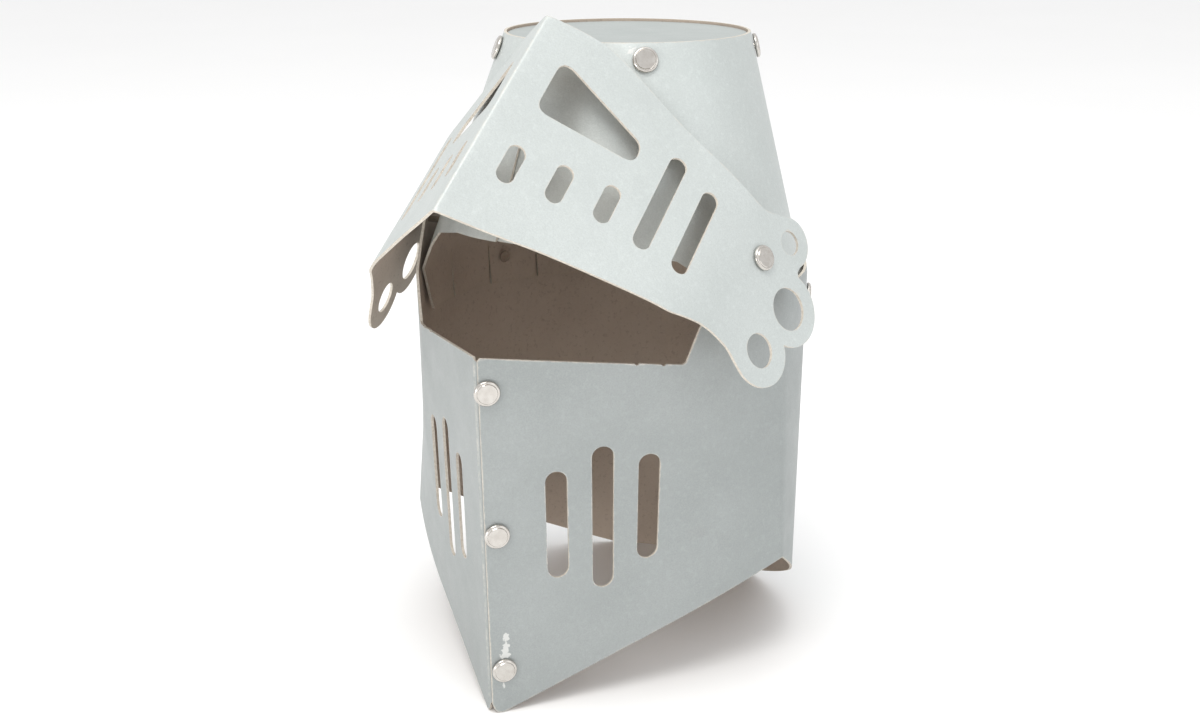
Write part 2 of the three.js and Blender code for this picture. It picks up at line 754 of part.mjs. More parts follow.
const sides = [ [ 'left', 1 ], [ 'right', - 1 ] ];
const prowPlaces = PROW_RIVETS.map( ( [ x, z ] ) => rivetPlace( placeOnWall, x, z ) );
const rimPlaces = RIM_RIVETS.azimuths
	.map( ( azimuth ) => rivetPlace( placeOnCrown, azimuth, RIM_RIVETS.z ) );
const rearX = wallX( REAR_RIVETS.azimuth );
const rearPlaces = [ rearX, 2 * WALL_BACK_X - rearX ]
	.map( ( x ) => rivetPlace( placeOnWall, x, REAR_RIVETS.z ) );
const hingeAxis = new THREE.Vector3( 1, 0, 0 );
const hingeBore = drill( new THREE.Vector3( 0, HINGE.y, HINGE.z ), hingeAxis, PIVOT_HOLE, HALF_BORE );

const crown = drilled( crownSheet(), [ ...rimPlaces, ...rearPlaces ] ).subtract( hingeBore );
const wall = drilled( wallSheet(), [ ...prowPlaces, ...rearPlaces ] ).subtract( hingeBore );
addMesh( helmet, 'crown_cone', geometryOf( crown ), silverCard() );
addMesh( helmet, 'crown_lid', geometryOf( drilled( lidSheet(), rimPlaces ) ), silverCard() );
addMesh( helmet, 'neck_wall', geometryOf( wall ), silverCard() );

prowPlaces.forEach( ( place, i ) => {

	addMesh( helmet, `prow_rivet_${ i + 1 }`, rivet( place, LAP + CARD ), nickel() );

} );
rimPlaces.forEach( ( place, i ) => {

	addMesh( helmet, `rim_rivet_${ i + 1 }`, rivet( place, LAP + CARD ), nickel() );

} );
sides.forEach( ( [ name ], i ) => {

	const { point } = rearPlaces[ i ];
	const toSkirt = Math.hypot( point.x, point.y ) - crownSection( REAR_RIVETS.z ).radius + CARD;
	addMesh( helmet, `rear_rivet_${ name }`, rivet( rearPlaces[ i ], toSkirt + 2 * SEAT ), nickel() );

} );

const visor = new THREE.Group();
visor.position.set( 0, HINGE.y, HINGE.z );
visor.rotation.x = - RAISED * DEGREE;
const visorBore = drill( new THREE.Vector3(), hingeAxis, SHANK_HOLE, HALF_BORE );
addMesh( visor, 'visor_plate', geometryOf( visorSheet().subtract( visorBore ) ), silverCard() );
sides.forEach( ( [ name, side ] ) => {

	addMesh( visor, `pivot_rivet_${ name }`, pivotRivet( side, VISOR_EARS[ name ] ), nickel() );

} );
helmet.add( visor );

// The middle of the whole thing's footprint is the origin.
const extent = new THREE.Box3().setFromObject( helmet );
const middle = extent.getCenter( new THREE.Vector3() );
helmet.position.set( - middle.x, - middle.y, - extent.min.z );

export default helmet;
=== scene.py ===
"""A child's knight helmet in silver card, standing on a pale floor with its visor up.

Each card piece is laid out flat, as it is die-cut, with its slots and holes, and is then
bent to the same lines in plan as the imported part, at a much finer pitch. Sizes are in
millimetres from the middle of the head until a mesh is made, which is in metres.
"""

import json
import math

import bpy
import numpy as np
from mathutils import Matrix, Vector, geometry


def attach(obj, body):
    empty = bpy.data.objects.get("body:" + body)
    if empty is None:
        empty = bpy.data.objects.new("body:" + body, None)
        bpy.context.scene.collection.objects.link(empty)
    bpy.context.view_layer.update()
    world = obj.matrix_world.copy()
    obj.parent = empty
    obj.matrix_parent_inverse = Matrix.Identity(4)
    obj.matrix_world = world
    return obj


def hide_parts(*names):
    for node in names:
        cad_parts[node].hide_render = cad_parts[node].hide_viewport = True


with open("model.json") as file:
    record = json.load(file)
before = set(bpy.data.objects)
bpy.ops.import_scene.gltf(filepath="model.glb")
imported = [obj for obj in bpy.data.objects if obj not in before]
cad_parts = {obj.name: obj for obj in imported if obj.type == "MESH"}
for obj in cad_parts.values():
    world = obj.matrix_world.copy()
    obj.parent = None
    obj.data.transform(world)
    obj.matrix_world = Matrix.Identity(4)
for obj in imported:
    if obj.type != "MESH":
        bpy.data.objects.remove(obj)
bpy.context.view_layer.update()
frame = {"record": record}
record = frame["record"]

# ---------- sizes of the card pieces ----------

MM = 0.001
CARD = 1.2
LAP = CARD + 0.35

# The wall at three heights: how far forward the prow is, the radius round the head, and for
# each side how many degrees it leans back from the prow and the azimuth of its corner.
# Azimuth 0 is the front and 180 the back.
WALL_LEVELS = [
    {"z": 0, "prow": 113, "radius": 88, "left": (42, 85), "right": (48, 79)},
    {"z": 178, "prow": 120.1, "radius": 90.5, "left": (48.9, 41.1), "right": (48.9, 41.1)},
    {"z": 208, "prow": 113.5, "radius": 85.5, "left": (48.9, 41.1), "right": (48.9, 41.1)},
]
CORNER_FADE = 30
FREE_EDGE = 1.0
PROW_TAB = 19
FOLD_ROUND = 1.6
WALL_FOLD_STEPS, FOLD_STEPS = 6, 7
GUARD_TOP_AT_PROW = 165
GUARD_TOP_AT_CHEEK = 155.5
CHEEK = 86
WALL_TOP = 181
EAR_TAB_TOP = 206
ARCH_TOP = 53
ARCH_END_Y = 80
NICKS = (66, 77)  # distances from the prow along the guard's top edge
SLOT_X = [31.5, 51.9, 72.3]
SLOTS = [(87, 50), (88, 67), (91, 50)]  # height of the middle, length
SLOT_WIDTH = 9.6

# The crown's rim, bend and hem: height, radius, and how far back the middle is.
CROWN_TOP = (284.5, 55.8, 15.0)
CROWN_BEND = (176.0, 88.4, 0.0)
CROWN_HEM = (153.0, 87.0, 0.0)
CROWN_SEAM = 349
CROWN_START = CROWN_SEAM - 360 - 15
CROWN_RAMP = 34
DEGREE_MM, RIM_DEGREE_MM = 1.35, 0.98  # one degree round the crown, and round its rim
BROW = [(0, 203), (30, 202.5), (46, 198), (57, 188), (65, 172), (72, 153)]
SKIRT_SLITS = [178 + k * 18.75 for k in range(-5, 6)]
SLIT_TOP = 174.5
SLIT_HALF = 0.55
LID_TOP = 283.3
LID_TAB = (8.5, 13)  # degrees each way, depth

VISOR_FOLD = 127
VISOR_RADIUS = 92.5
VISOR_TEMPLE = 28
VISOR_EARS = {"left": 28, "right": 22}
HINGE_Y, HINGE_Z = -31.4, 198
RAISED = 53.5
HINGE_INNER_X = 69
# Lobes are (x, height, outer radius, hole radius), and breathing slots (x, height, length).
LOBES = [(148, 161.5, 15.5, 7.4), (153.5, 188.5, 16.5, 9.3), (140.5, 215, 11.5, 5.3)]
EYE = [(14.8, 191.5), (61, 195.5), (60, 206), (14.8, 221)]
BREATHS = [(17.2, 162.6, 19), (37.8, 167, 19), (58.4, 171.4, 19)]
LONG_BREATHS = [(77.6, 186.2, 49), (96.2, 183.6, 43)]

PROW_RIVETS = [(3.4, 150), (5, 85.5), (5.6, 21)]  # distance from the free edge, height
RIM_AZIMUTHS = [35, 117, 211, 309]
RIM_Z = 277.5
REAR_AZIMUTH, REAR_Z = 113, 166
SEAT = 0.3

# The hinge is at x = 0 and y = HINGE_Y from the middle of the head.
hinge = record["behaviour"]["joints"][0]["pos_m"]
SHIFT = np.array([hinge[0] / MM, hinge[1] / MM - HINGE_Y, 0.0])


# ---------- lines in plan, and where a flat sheet's points go ----------


def lengths_of(points):
    """Distance along a line to each of its points."""
    step = np.diff(points, axis=0)
    return np.concatenate([[0], np.cumsum(np.hypot(step[:, 0], step[:, 1]))])


def outward_of(points):
    """Outward offsets at each corner of a line, mitred."""
    step = np.diff(points, axis=0)
    normal = np.stack([step[:, 1], -step[:, 0]], 1)
    normal /= np.hypot(normal[:, 0], normal[:, 1])[:, None]
    before = np.vstack([normal[:1], normal])
    after = np.vstack([normal, normal[-1:]])
    return (before + after) / (1 + (before * after).sum(1))[:, None]


def round_corner(before, corner, after, steps):
    """Points of a smooth curve that leaves out the corner between two points."""
    return [
        before * (1 - t) ** 2 + corner * 2 * t * (1 - t) + after * t**2
        for t in np.linspace(0, 1, steps)
    ]


def spot(measure, x):
    """The step of a measured line that x falls in, and how far along that step it is."""
    i = np.clip(np.searchsorted(measure, x, "right") - 1, 0, len(measure) - 2)
    return i, (x - measure[i]) / (measure[i + 1] - measure[i])


def blend_at(rows, i, f):
    """Points between rows i and i + 1 of a table of points."""
    return rows[i] * (1 - f)[:, None] + rows[i + 1] * f[:, None]


def blend_at_levels(stack, low, up, i, f):
    """The same between two levels of a twisted sheet, up of the way from level low."""
    f = f[:, None]
    lower = stack[low, i] * (1 - f) + stack[low, i + 1] * f
    upper = stack[low + 1, i] * (1 - f) + stack[low + 1, i + 1] * f
    return lower * (1 - up) + upper * up


def wall_point(level, side, azimuth):
    """A point of the wall in plan: straight as far as the corner, then round the head."""
    lean, corner = level[side]
    lean_r = math.radians(lean)

    def straight(a):
        return level["prow"] * math.sin(lean_r) / math.sin(lean_r + math.radians(a))

    fade = max(0.0, 1 - (azimuth - corner) / CORNER_FADE)
    rounded = level["radius"] + (straight(corner) - level["radius"]) * fade**2
    radius = straight(azimuth) if azimuth <= corner else rounded
    across = 1 if side == "left" else -1
    a = math.radians(azimuth)
    return across * radius * math.sin(a), -radius * math.cos(a)


WALL_AZIMUTHS = sorted({*np.arange(4, 181, 2.5), 41.1, 79, 85, 180})


def wall_track(level):
    """The wall's outer line in plan, from its free edge round to the end of its tab."""
    left = [wall_point(level, "left", a) for a in WALL_AZIMUTHS]
    right = [wall_point(level, "right", a) for a in WALL_AZIMUTHS[:-1]][::-1]
    near, far = math.radians(level["left"][0]), math.radians(level["right"][0])
    apex = np.array([0, -level["prow"]])
    along_left = np.array([math.sin(near), math.cos(near)])
    along_right = np.array([-math.sin(far), math.cos(far)])
    inward = np.array([-math.cos(near), math.sin(near)])
    fold = apex + along_right * LAP / math.sin(near + far)
    before, after = fold + along_right * FOLD_ROUND, fold + along_left * FOLD_ROUND
    turn = round_corner(before, fold, after, WALL_FOLD_STEPS)
    tab_end = apex + inward * LAP + along_left * PROW_TAB
    return np.array([apex + along_left * FREE_EDGE, *left, *right, *turn, tab_end])


wall_tracks = np.array([wall_track(level) for level in WALL_LEVELS])
wall_outs = np.array([outward_of(track) for track in wall_tracks])
wall_measure = lengths_of((wall_tracks[0] + wall_tracks[1]) / 2)
WALL_Z = np.array([level["z"] for level in WALL_LEVELS], float)
WALL_FOLD_X = wall_measure[-1 - WALL_FOLD_STEPS // 2]
WALL_BACK_X = wall_measure[len(WALL_AZIMUTHS)]


def place_on_wall(x, z, depth):
    """Where a flat sheet's points go; depth is 0 on the inner face, CARD on the outer."""
    i, f = spot(wall_measure, x)
    low, up = spot(WALL_Z, z)
    up = up[:, None]
    point = blend_at_levels(wall_tracks, low, up, i, f)
    outward = blend_at_levels(wall_outs, low, up, i, f)
    plan = point + outward * (depth - CARD)[:, None]
    return np.column_stack([plan, z])


def wall_x(azimuth):
    """How far along the flat wall an azimuth on the wearer's left comes."""
    near_half = wall_measure[: len(WALL_AZIMUTHS) + 1]
    return float(np.interp(azimuth, [0, *WALL_AZIMUTHS], near_half))


def place_on_crown(azimuth, z, depth):
    """A point on the cone, whose last stretch climbs over its first by one lap."""
    heights = [CROWN_HEM[0], CROWN_BEND[0], CROWN_TOP[0]]
    radius = np.interp(z, heights, [CROWN_HEM[1], CROWN_BEND[1], CROWN_TOP[1]])
    middle = np.interp(z, heights, [CROWN_HEM[2], CROWN_BEND[2], CROWN_TOP[2]])
    t = np.clip((azimuth - (CROWN_START + 360 - CROWN_RAMP)) / CROWN_RAMP, 0, 1)
    out = radius + LAP * t * t * (3 - 2 * t) + depth - CARD
    a = np.radians(azimuth)
    return np.column_stack([out * np.sin(a), middle - out * np.cos(a), z])


def place_under_crown(azimuth, z, depth):
    """The same for the lid's tabs, which lie against the crown's inner face."""
    return place_on_crown(azimuth, z, depth - LAP)


def visor_track(side):
    """One half of the shut visor in plan, drawn as if it were the left half."""
    fold_angle = math.asin(VISOR_RADIUS / VISOR_FOLD)
    temple, ear = math.radians(VISOR_TEMPLE), math.radians(VISOR_EARS[side])
    points = [np.array([0.0, -VISOR_FOLD])]
    for a in np.linspace(fold_angle, temple, 16):
        points.append(VISOR_RADIUS * np.array([math.cos(a), -math.sin(a)]))
    for share, length in [(0.125, 2.4), (0.375, 2.4), (0.625, 2.4), (0.875, 2.3), (1, 48)]:
        a = temple + (ear - temple) * share
        points.append(points[-1] + length * np.array([math.sin(a), math.cos(a)]))
    return np.array(points)


def rounded_fold(left, right):
    """Joins both halves with a small round at the fold."""
    fold = left[0]
    ways = [(half[1] - fold) / np.hypot(*(half[1] - fold)) for half in (right, left)]
    before, after = fold + ways[0] * FOLD_ROUND, fold + ways[1] * FOLD_ROUND
    turn = round_corner(before, fold, after, FOLD_STEPS)
    return np.vstack([right[:0:-1], turn, left[1:]])


visor_right = visor_track("right") * [-1, 1]
visor_left = visor_track("left")
visor_points = rounded_fold(visor_left, visor_right)
visor_outs = outward_of(visor_points)
visor_measure = lengths_of(visor_points)
visor_measure -= visor_measure[len(visor_right) - 1 + FOLD_STEPS // 2]
TILT = np.array(Matrix.Rotation(math.radians(-RAISED), 3, "X"))


def place_on_visor(x, z, depth):
    """A point on the folded visor, laid out shut and then raised about the hinge."""
    i, f = spot(visor_measure, x)
    plan = blend_at(visor_points, i, f) + blend_at(visor_outs, i, f) * (depth - CARD)[:, None]
    shut = np.column_stack([plan[:, 0], plan[:, 1] - HINGE_Y, z - HINGE_Z])
    return shut @ TILT.T + [0, HINGE_Y, HINGE_Z]


# ---------- meshes ----------


def mesh_object(name, verts_mm, faces, materials, slots=None, attributes=None, sharp=35):
    """Makes one piece, smooth except where faces meet at more than sharp degrees."""
    mesh = bpy.data.meshes.new(name)
    mesh.from_pydata(((np.asarray(verts_mm) + SHIFT) * MM).tolist(), [], faces)
    for material in materials:
        mesh.materials.append(material)
    if slots is not None:
        mesh.polygons.foreach_set("material_index", np.array(slots, np.int32))
    for key, values in (attributes or {}).items():
        layer = mesh.attributes.new(key, "FLOAT", "POINT")
        layer.data.foreach_set("value", np.asarray(values, np.float32))
    mesh.update()
    mesh.shade_smooth()
    mesh.set_sharp_from_angle(angle=math.radians(sharp))
    obj = bpy.data.objects.new(name, mesh)
    bpy.context.scene.collection.objects.link(obj)
    return obj


def refined(loop, most=2.5):
    """The same closed outline with no side longer than most."""
    points = []
    for p, q in zip(loop, [*loop[1:], loop[0]]):
        p, q = np.array(p, float), np.array(q, float)
        count = max(1, math.ceil(np.hypot(*(q - p)) / most))
        points += [tuple(p + (q - p) * k / count) for k in range(count)]
    return points


def inside(points, loop):
    """Which points lie inside a closed outline."""
    loop = np.asarray(loop)
    x, y = points[:, 0], points[:, 1]
    result = np.zeros(len(points), bool)
    for (x0, y0), (x1, y1) in zip(loop, np.roll(loop, -1, 0)):
        if y0 == y1:
            continue
        crosses = (y0 > y) != (y1 > y)
        result ^= crosses & (x < (x1 - x0) * (y - y0) / (y1 - y0) + x0)
    return result


def in_card(points, loops):
    """Which points lie inside the outline and outside every hole."""
    keep = inside(points, loops[0])
    for hole in loops[1:]:
        keep &= ~inside(points, hole)
    return keep


def distance_to(points, loops):
    """How far each point is from the nearest cut."""
    best = np.full(len(points), 1e3)
    for loop in loops:
        loop = np.asarray(loop)
        for a, b in zip(loop, np.roll(loop, -1, 0)):
            ab = b - a
            t = np.clip(((points - a) @ ab) / (ab @ ab), 0, 1)
            best = np.minimum(best, np.hypot(*(points - a - t[:, None] * ab).T))
    return best


CREASE_COLUMNS = (-1.2, -0.7, -0.25, 0.25, 0.7, 1.2)
EDGE_GAP = 0.8


def sheet(name, outline, holes, place, materials, creases=(), step=(2.6, 5.0), x_scale=1.0):
    """A bent sheet of card with an outer face, an inner face and cut edges.

    x_scale is the length in millimetres of one unit of x, which is a degree on the crown.
    """
    loops = [refined([(x * x_scale, y) for x, y in loop]) for loop in (outline, *holes)]
    fixed = np.array([point for loop in loops for point in loop])
    low, high = fixed.min(0), fixed.max(0)
    xs = [*np.arange(low[0] + step[0] / 2, high[0], step[0])]
    crease_xs = [c * x_scale + d for c in creases for d in CREASE_COLUMNS]
    ys = np.arange(low[1] + step[1] / 2, high[1], step[1])
    grid = np.array([(x, y) for x in [*xs, *crease_xs] for y in ys])
    grid = grid[in_card(grid, loops)]
    grid = grid[distance_to(grid, loops) > EDGE_GAP]
    edges = []
    start = 0
    for loop in loops:
        count = len(loop)
        edges += [(start + k, start + (k + 1) % count) for k in range(count)]
        start += count
    points = [Vector(p) for p in np.vstack([fixed, grid])]
    verts, _, faces, *_ = geometry.delaunay_2d_cdt(points, edges, [], 0, 1e-4)
    flat = np.array([tuple(v) for v in verts])
    tris = np.array(faces)
    tris = tris[in_card(flat[tris].mean(1), loops)]
    used, tris = np.unique(tris, return_inverse=True)
    flat, tris = flat[used], tris.reshape(-1, 3)
    count = len(flat)
    x, y = flat[:, 0] / x_scale, flat[:, 1]
    outer = place(x, y, np.full(count, CARD))
    inner = place(x, y, np.zeros(count))
    seen = {(a, b) for tri in tris.tolist() for a, b in zip(tri, tri[1:] + tri[:1])}
    border = [(a, b) for a, b in seen if (b, a) not in seen]
    border.sort()
    all_faces = tris.tolist() + (tris[:, ::-1] + count).tolist()
    all_faces += [(a + count, b + count, b, a) for a, b in border]
    slots = [0] * len(tris) + [1] * len(tris) + [2] * len(border)
    edge = distance_to(flat, loops)
    crease = np.full(count, 1e3)
    for c in creases:
        crease = np.minimum(crease, np.abs(flat[:, 0] - c * x_scale))
    attributes = {"edge_mm": np.tile(edge, 2), "crease_mm": np.tile(crease, 2)}
    return mesh_object(name, np.vstack([outer, inner]), all_faces, materials, slots, attributes)


def arc(cx, cy, r, start, end, steps=14):
    turns = np.radians(np.linspace(start, end, steps))
    return [(cx + r * math.cos(t), cy + r * math.sin(t)) for t in turns]


def circle(cx, cy, r, steps=36):
    return arc(cx, cy, r, 0, 360 - 360 / steps, steps)


def slot(cx, cy, width, length):
    """An upright slot with round ends."""
    r, reach = width / 2, (length - width) / 2
    return arc(cx, cy + reach, r, 0, 180, 11) + arc(cx, cy - reach, r, 180, 360, 11)


def rounded(corners, radius, steps=7):
    """A closed outline with its corners rounded off."""
    points = []
    for k, here in enumerate(corners):
        here = np.array(here, float)
        back = np.array(corners[k - 1]) - here
        ahead = np.array(corners[(k + 1) % len(corners)]) - here
        back, ahead = back / np.hypot(*back), ahead / np.hypot(*ahead)
        half = math.acos(np.clip(back @ ahead, -1, 1)) / 2
        set_back = radius / math.tan(half)
        ends = here + back * set_back, here + ahead * set_back
        points += [tuple(q) for q in round_corner(ends[0], here, ends[1], steps)]
    return points


def smooth_line(points, steps=6):
    """A curve through the points (Catmull-Rom)."""
    p = [np.array(q, float) for q in (points[0], *points, points[-1])]
    line = []
    for a, b, c, d in zip(p, p[1:], p[2:], p[3:]):
        for t in np.linspace(0, 1, steps, endpoint=False):
            q = 2 * b + (c - a) * t + (2 * a - 5 * b + 4 * c - d) * t**2
            line.append(tuple((q + (3 * b - a - 3 * c + d) * t**3) / 2))
    return [*line, tuple(points[-1])]


def lathe(name, profile, base, outward, material, sides=48):
    """Turns (radius, height) about an axis; both ends of the profile are on the axis."""
    outward = Vector(outward).normalized()
    turn = np.array(Vector((0, 0, 1)).rotation_difference(outward).to_matrix())
    rings = profile[1:-1]
    verts = [(0, 0, profile[0][1])]
    for r, h in rings:
        for k in range(sides):
            a = 2 * math.pi * k / sides
            verts.append((r * math.cos(a), r * math.sin(a), h))
    verts.append((0, 0, profile[-1][1]))
    faces = [(0, 1 + (k + 1) % sides, 1 + k) for k in range(sides)]
    for ring in range(len(rings) - 1):
        a = 1 + ring * sides
        for k in range(sides):
            n = (k + 1) % sides
            faces.append((a + k, a + n, a + sides + n, a + sides + k))
    last, tip = 1 + (len(rings) - 1) * sides, len(verts) - 1
    faces += [(last + k, last + (k + 1) % sides, tip) for k in range(sides)]
    return mesh_object(name, np.array(verts) @ turn.T + np.array(base), faces, [material], sharp=50)


# ---------- materials ----------


class Nodes:
    """Short ways to build one material's nodes."""

    def __init__(self, name):
        self.material = bpy.data.materials.new(name)
        self.material.use_nodes = True
        self.tree = self.material.node_tree
        self.shader = self.tree.nodes["Principled BSDF"]
        self.place = self.add("ShaderNodeTexCoord").outputs["Object"]

    def add(self, kind, **settings):
        node = self.tree.nodes.new(kind)
        for key, value in settings.items():
            setattr(node, key, value)
        return node

    def join(self, source, target):
        if isinstance(source, (int, float, tuple)):
            target.default_value = source
        else:
            self.tree.links.new(source, target)

    def noise(self, scale, detail=3.0, rough=0.55):
        node = self.add("ShaderNodeTexNoise")
        self.join(self.place, node.inputs["Vector"])
        node.inputs["Scale"].default_value = scale
        node.inputs["Detail"].default_value = detail
        node.inputs["Roughness"].default_value = rough
        return node.outputs["Fac"]

    def remap(self, value, low, high, to_low=0.0, to_high=1.0):
        node = self.add("ShaderNodeMapRange")
        self.join(value, node.inputs["Value"])
        limits = {"From Min": low, "From Max": high, "To Min": to_low, "To Max": to_high}
        for key, number in limits.items():
            node.inputs[key].default_value = number
        return node.outputs["Result"]

    def math(self, operation, a, b=0.0, clamp=False):
        node = self.add("ShaderNodeMath", operation=operation, use_clamp=clamp)
        self.join(a, node.inputs[0])
        self.join(b, node.inputs[1])
        return node.outputs[0]

    def mix(self, factor, a, b):
        node = self.add("ShaderNodeMix", data_type="RGBA")
        self.join(factor, node.inputs["Factor"])
        self.join(a, node.inputs[6])
        self.join(b, node.inputs[7])
        return node.outputs[2]

    def bump(self, height, strength, distance, normal=None):
        node = self.add("ShaderNodeBump")
        node.inputs["Strength"].default_value = strength
        node.inputs["Distance"].default_value = distance
        self.join(height, node.inputs["Height"])
        if normal is not None:
            self.join(normal, node.inputs["Normal"])
        return node.outputs["Normal"]

    def attribute(self, name):
        return self.add("ShaderNodeAttribute", attribute_name=name).outputs["Fac"]

    def blot(self, centre_mm, radii_mm, ragged=0.5):
        """1 inside a ragged patch about a point, 0 outside it."""
        centre = (np.array(centre_mm) + SHIFT) * MM
        shift = self.add("ShaderNodeVectorMath", operation="SUBTRACT")
        self.join(self.place, shift.inputs[0])
        shift.inputs[1].default_value = tuple(centre)
        scale = self.add("ShaderNodeVectorMath", operation="DIVIDE")
        self.join(shift.outputs[0], scale.inputs[0])
        scale.inputs[1].default_value = tuple(r * MM for r in radii_mm)
        length = self.add("ShaderNodeVectorMath", operation="LENGTH")
        self.join(scale.outputs[0], length.inputs[0])
        uneven = self.remap(self.noise(700, 4), 0.3, 0.7, -ragged, ragged)
        reach = self.math("ADD", length.outputs["Value"], uneven)
        return self.remap(reach, 0.85, 1.0, 1.0, 0.0)


def rgb(r, g, b):
    return (r, g, b, 1.0)


def silver_face(name, light, dark, tears=(), painted_shadows=()):
    """Satin silver laminate: fine grain, soft unevenness, wear at cut edges and creases, and
    painted shadows as soft grey patches.
    """
    n = Nodes(name)
    broad = n.remap(n.noise(16, 3), 0.35, 0.65)
    colour = n.mix(broad, rgb(*dark), rgb(*light))
    flecks = n.remap(n.noise(1500, 2, 0.7), 0.35, 0.65)
    colour = n.mix(n.math("MULTIPLY", flecks, 0.30), colour, rgb(*(c * 0.72 for c in dark)))
    fibre = n.remap(n.noise(420, 5, 0.7), 0.52, 0.7)
    colour = n.mix(n.math("MULTIPLY", fibre, 0.22), colour, rgb(*(min(1, c * 1.25) for c in light)))
    near_edge = n.remap(n.attribute("edge_mm"), 0.0, 0.6, 0.8, 0.0)
    rub = n.remap(n.noise(260, 4, 0.65), 0.42, 0.62)
    colour = n.mix(n.math("MULTIPLY", near_edge, rub), colour, rgb(0.60, 0.57, 0.51))
    near_crease = n.remap(n.attribute("crease_mm"), 0.15, 1.1, 1.0, 0.0)
    crease_rub = n.math("MULTIPLY", near_crease, n.remap(n.noise(330, 4, 0.7), 0.4, 0.68))
    colour = n.mix(n.math("MULTIPLY", crease_rub, 0.55), colour, rgb(0.66, 0.63, 0.57))
    # Painted shadow: each given patch is darkened towards grey in the colour, where a nearby part
    # casts shade.
    for centre, radii in painted_shadows:
        shadow_mark = n.math("MULTIPLY", n.blot(centre, radii, 0.35), 0.12)
        colour = n.mix(shadow_mark, colour, rgb(0.25, 0.25, 0.24))
    torn = None
    for centre, radii in tears:
        patch = n.blot(centre, radii)
        torn = patch if torn is None else n.math("MAXIMUM", torn, patch)
    rough = n.remap(n.noise(60, 4), 0.3, 0.7, 0.42, 0.56)
    metal = 0.42
    if torn is not None:
        colour = n.mix(n.math("MULTIPLY", torn, 0.7), colour, rgb(0.70, 0.70, 0.68))
        rough = n.math("ADD", rough, n.math("MULTIPLY", torn, 0.4), clamp=True)
        metal = n.math("MULTIPLY", n.math("SUBTRACT", 1.0, torn), 0.42)
    n.join(colour, n.shader.inputs["Base Color"])
    n.join(rough, n.shader.inputs["Roughness"])
    n.join(metal, n.shader.inputs["Metallic"])
    normal = n.bump(n.noise(11, 2), 0.35, 0.0022)
    normal = n.bump(n.noise(620, 4, 0.7), 0.4, 0.0003, normal)
    normal = n.bump(n.noise(1900, 2, 0.7), 0.55, 0.0001, normal)
    n.join(normal, n.shader.inputs["Normal"])
    return n.material


def board_face():
    """The bare inside of the board: warm grey-brown with darker fibres."""
    n = Nodes("bare_board")
    uneven = n.remap(n.noise(22, 4), 0.3, 0.7)
    colour = n.mix(uneven, rgb(0.47, 0.39, 0.325), rgb(0.56, 0.475, 0.40))
    fibre = n.remap(n.noise(900, 5, 0.75), 0.45, 0.62)
    colour = n.mix(n.math("MULTIPLY", fibre, 0.35), colour, rgb(0.58, 0.50, 0.43))
    dark = n.remap(n.noise(480, 4, 0.7), 0.56, 0.66)
    colour = n.mix(n.math("MULTIPLY", dark, 0.4), colour, rgb(0.29, 0.23, 0.185))
    pale_edge = n.remap(n.attribute("edge_mm"), 0.0, 0.8, 0.7, 0.0)
    colour = n.mix(pale_edge, colour, rgb(0.5, 0.42, 0.33))
    n.join(colour, n.shader.inputs["Base Color"])
    n.join(n.remap(n.noise(200, 3), 0.3, 0.7, 0.86, 0.96), n.shader.inputs["Roughness"])
    n.join(n.bump(n.noise(1100, 4, 0.7), 0.35, 0.00012), n.shader.inputs["Normal"])
    return n.material


def cut_edge():
    """The cream core that shows along every cut."""
    n = Nodes("cut_edge")
    plies = n.remap(n.noise(900, 4), 0.35, 0.65)
    colour = n.mix(plies, rgb(0.52, 0.475, 0.41), rgb(0.66, 0.62, 0.55))
    grime = n.remap(n.noise(70, 3), 0.5, 0.75)
    colour = n.mix(n.math("MULTIPLY", grime, 0.3), colour, rgb(0.38, 0.33, 0.27))
    n.join(colour, n.shader.inputs["Base Color"])
    n.join(n.remap(n.noise(500, 3), 0.3, 0.7, 0.8, 0.95), n.shader.inputs["Roughness"])
    n.join(n.bump(n.noise(1600, 3), 0.4, 0.0001), n.shader.inputs["Normal"])
    return n.material


def nickel():
    """Bright pressed metal with light scratches and a duller face."""
    n = Nodes("nickel_plate")
    clouding = n.remap(n.noise(380, 4), 0.35, 0.65)
    colour = n.mix(clouding, rgb(0.54, 0.51, 0.475), rgb(0.62, 0.595, 0.56))
    n.join(colour, n.shader.inputs["Base Color"])
    n.join(1.0, n.shader.inputs["Metallic"])
    n.join(n.remap(n.noise(900, 4, 0.7), 0.3, 0.7, 0.14, 0.22), n.shader.inputs["Roughness"])
    n.join(n.bump(n.noise(400, 3), 0.08, 0.00006), n.shader.inputs["Normal"])
    return n.material


# ---------- the camera, the floor and the light ----------

CAMERA_AT = np.array([335.2, -641.8, 357.2])
AZIMUTH, PITCH = math.radians(28), math.radians(17.3)
level_sight = Vector((-math.sin(AZIMUTH), math.cos(AZIMUTH), 0))
sight = level_sight * math.cos(PITCH) - Vector((0, 0, math.sin(PITCH)))

camera_data = bpy.data.cameras.new("camera")
camera_data.sensor_width = 36
camera_data.lens = 48
camera = bpy.data.objects.new("camera", camera_data)
camera.location = (CAMERA_AT + SHIFT) * MM
camera.rotation_euler = sight.to_track_quat("-Z", "Y").to_euler()
bpy.context.scene.collection.objects.link(camera)
bpy.context.scene.camera = camera


def area_light(name, place, target, size, watts, colour=(1, 1, 1)):
    """A round soft light, in metres, pointed at a target."""
    data = bpy.data.lights.new(name, "AREA")
    data.shape = "DISK"
    data.size = size
    data.energy = watts
    data.color = colour
    light = bpy.data.objects.new(name, data)
    light.location = place
    light.rotation_euler = (Vector(target) - Vector(place)).to_track_quat("-Z", "Y").to_euler()
    bpy.context.scene.collection.objects.link(light)


